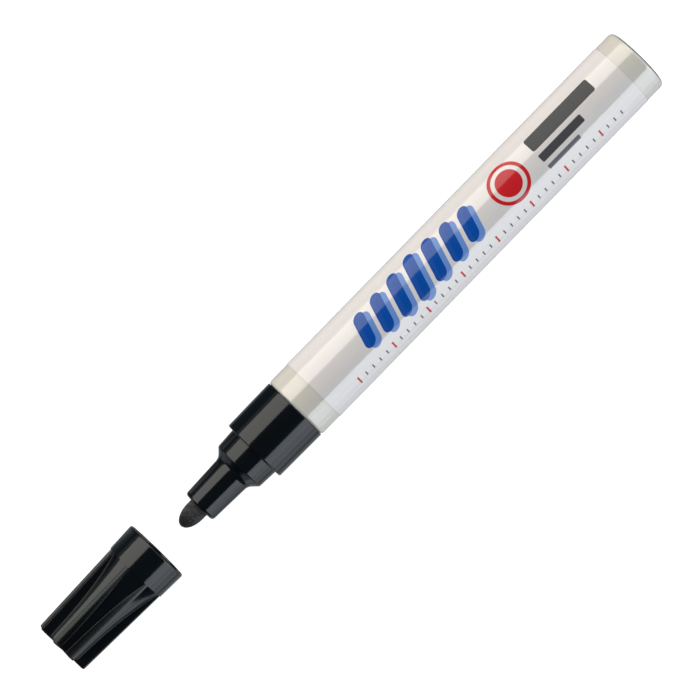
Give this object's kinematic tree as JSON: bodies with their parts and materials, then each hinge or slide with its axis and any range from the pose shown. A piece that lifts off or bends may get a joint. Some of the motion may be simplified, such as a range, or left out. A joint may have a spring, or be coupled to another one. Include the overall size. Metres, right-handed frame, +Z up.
{
  "type": "paint marker",
  "caption": "Paint marker with a metal barrel, a stepped black front, a bullet nib on a spring valve and a fluted cap that slides on and off.",
  "frame": {"origin": "middle of the whole length with the cap off, on the surface that the marker lies on", "axes": "+X along the marker from the nib to the closed end of the barrel, +Z up, +Y to the left of +X"},
  "size_m": [0.168, 0.0152, 0.0152],
  "materials": {
    "barrel_metal": "satin",
    "label_film": "gloss",
    "black_plastic": "gloss",
    "seal_rubber": "matte",
    "natural_plastic": "matte",
    "spring_steel": "satin",
    "nib_fibre": "matte",
    "ball_steel": "polished",
    "liner_plastic": "matte"
  },
  "bodies": {
    "marker_body": {"barrel": "barrel_metal", "barrel_label": "label_film", "front_section": "black_plastic", "barrel_seal": "seal_rubber", "valve_seat": "seal_rubber", "valve_cage": "natural_plastic", "valve_spring": "spring_steel"},
    "nib_unit": {"nib": "nib_fibre", "valve_plunger": "natural_plastic"},
    "loose_ball": {"mixing_ball": "ball_steel"},
    "cap_unit": {"cap": "black_plastic", "inner_cap": "liner_plastic"}
  },
  "joints": [
    {"name": "cap_slide", "type": "slide", "parent": "marker_body", "child": "cap_unit", "axis": [1, 0, 0], "range_m": [0, 0.02806]},
    {"name": "nib_press", "type": "slide", "parent": "marker_body", "child": "nib_unit", "axis": [1, 0, 0], "range_m": [0, 0.0018], "stiffness_N_per_m": 400, "springref_m": -0.004, "deforming": ["valve_spring"]},
    {"name": "ball_roll", "type": "slide", "parent": "marker_body", "child": "loose_ball", "axis": [1, 0, 0], "range_m": [-0.0408, 0.0335]}
  ]
}
